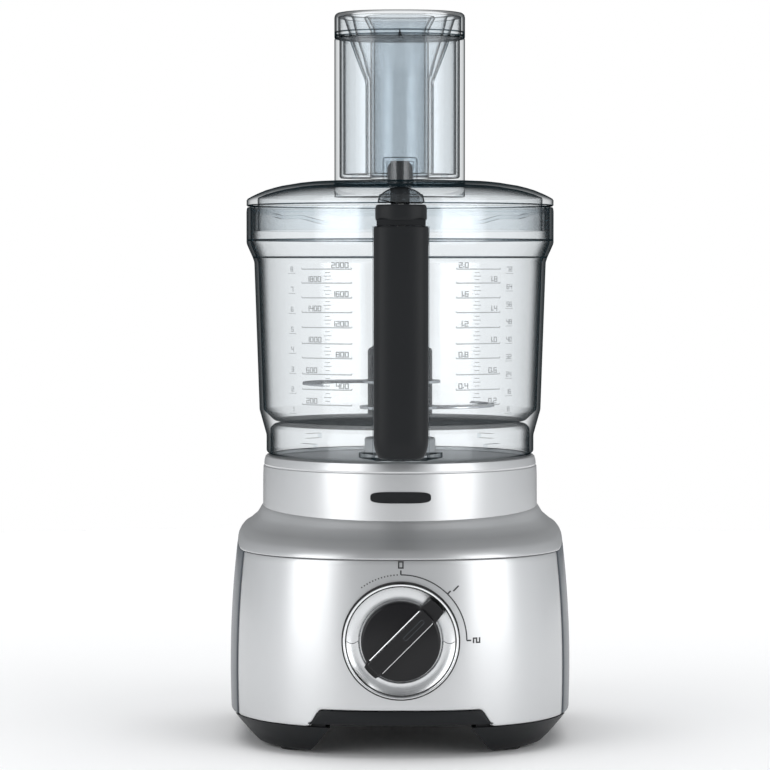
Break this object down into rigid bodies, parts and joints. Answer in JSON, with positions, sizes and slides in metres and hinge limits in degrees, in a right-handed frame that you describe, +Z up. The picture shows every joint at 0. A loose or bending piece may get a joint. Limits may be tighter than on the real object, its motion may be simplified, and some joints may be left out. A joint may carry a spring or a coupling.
{
  "type": "food processor",
  "caption": "Countertop food processor with a clear locking bowl and handle, lid with feed chute, nested pushers, blade set and a belt-driven motor base with a speed dial.",
  "frame": {"origin": "centre of the footprint of the whole object on the worktop, at floor level; the bowl's vertical axis stands 9 mm behind it", "axes": "+Z up along the bowl's axis, -Y to the front, where the dial and the handle are, +X to the right as seen from the front"},
  "size_m": [0.21, 0.242, 0.45],
  "materials": {
    "silver_casing": "satin silver lacquer",
    "slate_casing": "satin slate grey plastic",
    "charcoal_plastic": "fine matt texture",
    "black_plastic": "satin black plastic",
    "soft_rubber": "matt rubber",
    "clear_plastic": "clear moulded plastic",
    "satin_bezel": "satin silver with a bright edge",
    "steel": "ground steel",
    "aluminium": "cast",
    "nylon": "natural nylon",
    "copper": "enamelled copper wire",
    "laminations": "stacked steel sheet",
    "carbon": "pressed carbon",
    "circuit_board": "green board"
  },
  "bodies": {
    "motor_base": {"top_housing": "silver_casing", "front_fascia": "silver_casing", "rear_housing": "slate_casing", "base_plate": "charcoal_plastic", "badge": "charcoal_plastic", "cord_gland": "soft_rubber", "foot_pad_1": "soft_rubber", "foot_pad_2": "soft_rubber", "foot_pad_3": "soft_rubber", "foot_pad_4": "soft_rubber", "base_screw_1": "steel", "base_screw_2": "steel", "base_screw_3": "steel", "base_screw_4": "steel", "dial_bezel": "satin_bezel", "speed_switch": "black_plastic", "control_board": "circuit_board", "interlock_switch": "black_plastic", "chassis": "aluminium", "bearing_lower": "steel", "bearing_upper": "steel", "shaft_seal": "soft_rubber", "drive_belt": "soft_rubber", "stator_core": "laminations", "winding_lower": "copper", "winding_upper": "copper", "motor_bridge": "aluminium", "motor_bearing_lower": "steel", "motor_bearing_upper": "steel", "brush_left": "carbon", "brush_right": "carbon", "motor_screw_1": "steel", "motor_screw_2": "steel"},
    "dial": {"dial_knob": "black_plastic", "dial_shaft": "nylon"},
    "rotor": {"armature": "laminations", "motor_pulley": "steel", "motor_fan": "nylon"},
    "output_shaft": {"drive_shaft": "steel", "driven_pulley": "nylon"},
    "bowl_carrier": {"tube_bush": "nylon"},
    "bowl": {"bowl": "clear_plastic", "handle_grip": "charcoal_plastic", "handle_cap": "charcoal_plastic", "handle_screw_left": "steel", "handle_screw_right": "steel", "interlock_spring": "steel"},
    "safety_rod": {"interlock_rod": "nylon", "interlock_magnet": "steel"},
    "lid_carrier": {"lid_seal": "soft_rubber"},
    "lid": {"lid": "clear_plastic"},
    "pusher_large": {"pusher_large": "clear_plastic"},
    "pusher_small": {"pusher_small": "clear_plastic"},
    "spindle": {"spindle": "black_plastic"},
    "blade": {"blade_hub": "black_plastic", "blade_lower": "steel", "blade_upper": "steel", "hub_cap": "charcoal_plastic"}
  },
  "joints": [
    {"name": "dial_turn", "type": "hinge", "parent": "motor_base", "child": "dial", "pos_m": [0, -0.0955, 0.07], "axis": [0, 1, 0], "range_deg": [-80, 45]},
    {"name": "motor_spin", "type": "hinge", "parent": "motor_base", "child": "rotor", "pos_m": [0, 0.061, 0.08], "axis": [0, 0, 1], "continuous": true},
    {"name": "output_spin", "type": "hinge", "parent": "motor_base", "child": "output_shaft", "pos_m": [0, 0.009, 0.1], "axis": [0, 0, 1], "continuous": true},
    {"name": "bowl_lift", "type": "slide", "parent": "motor_base", "child": "bowl_carrier", "axis": [0, 0, 1], "range_m": [0, 0.08]},
    {"name": "bowl_twist", "type": "hinge", "parent": "bowl_carrier", "child": "bowl", "pos_m": [0, 0.009, 0.2], "axis": [0, 0, 1], "range_deg": [0, 30]},
    {"name": "rod_travel", "type": "slide", "parent": "bowl", "child": "safety_rod", "axis": [0, 0, 1], "range_m": [0, 0.004], "deforming": ["interlock_spring"]},
    {"name": "lid_lift", "type": "slide", "parent": "bowl", "child": "lid_carrier", "axis": [0, 0, 1], "range_m": [0, 0.06]},
    {"name": "lid_twist", "type": "hinge", "parent": "lid_carrier", "child": "lid", "pos_m": [0, 0.009, 0.33], "axis": [0, 0, 1], "range_deg": [0, 25]},
    {"name": "pusher_large_lift", "type": "slide", "parent": "lid", "child": "pusher_large", "axis": [0, 0, 1], "range_m": [0, 0.11]},
    {"name": "pusher_small_lift", "type": "slide", "parent": "pusher_large", "child": "pusher_small", "axis": [0, 0, 1], "range_m": [0, 0.11]},
    {"name": "spindle_spin", "type": "hinge", "parent": "bowl_carrier", "child": "spindle", "pos_m": [0, 0.009, 0.2], "axis": [0, 0, 1], "continuous": true},
    {"name": "blade_lift", "type": "slide", "parent": "spindle", "child": "blade", "axis": [0, 0, 1], "range_m": [0, 0.045]}
  ],
  "couplings": [
    {"joint": "output_spin", "follows": "motor_spin", "ratio": 0.2},
    {"joint": "spindle_spin", "follows": "motor_spin", "ratio": 0.2},
    {"joint": "rod_travel", "follows": "lid_twist", "m_per_rad": 0.009167}
  ]
}
